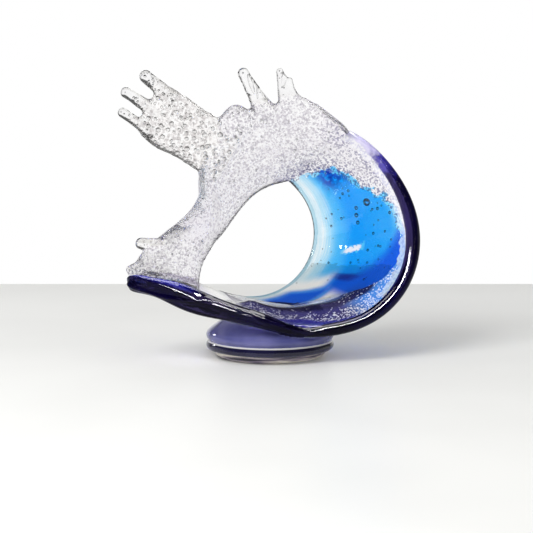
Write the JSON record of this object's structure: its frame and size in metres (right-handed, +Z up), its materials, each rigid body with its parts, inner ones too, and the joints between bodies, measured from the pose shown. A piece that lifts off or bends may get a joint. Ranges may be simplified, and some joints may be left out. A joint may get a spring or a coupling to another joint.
{
  "type": "glass wave sculpture",
  "caption": "Free-standing glass ornament: a curling cobalt and aqua wave with a clear bubbled crest, splash fingers and a turned round foot.",
  "frame": {"origin": "centre of the foot's flat underside", "axes": "+Z up, +X to the right as seen from the front, +Y from the front to the back through the wave's opening"},
  "size_m": [0.2847, 0.1497, 0.2736],
  "materials": {
    "foot_clear": "fire polished, clear with a blue cast",
    "collar_violet": "fire polished, blue-violet",
    "cobalt": "fire polished, cobalt",
    "aqua": "fire polished, azure with trapped bubbles",
    "navy_lip": "fire polished, near-black navy",
    "pale_trail": "fire polished, pale cyan",
    "bubbled_clear": "clear, full of fine bubbles",
    "pulled_clear": "clear, fire polished, a few bubbles"
  },
  "bodies": {
    "root": {"foot_pad": "foot_clear", "foot_bead": "foot_clear", "merese_collar": "collar_violet", "cobalt_shell": "cobalt", "aqua_lining": "aqua", "lip_wrap": "navy_lip", "far_lip": "pale_trail", "crest_arch": "bubbled_clear", "spray_column": "bubbled_clear", "spray_palm": "bubbled_clear", "palm_finger_upper": "pulled_clear", "palm_finger_middle": "pulled_clear", "palm_finger_lower": "pulled_clear", "crest_knuckle": "bubbled_clear", "top_finger_left": "pulled_clear", "top_finger_right": "pulled_clear", "top_finger_stub": "pulled_clear", "side_spout": "pulled_clear", "shore_foam": "bubbled_clear"}
  },
  "joints": []
}
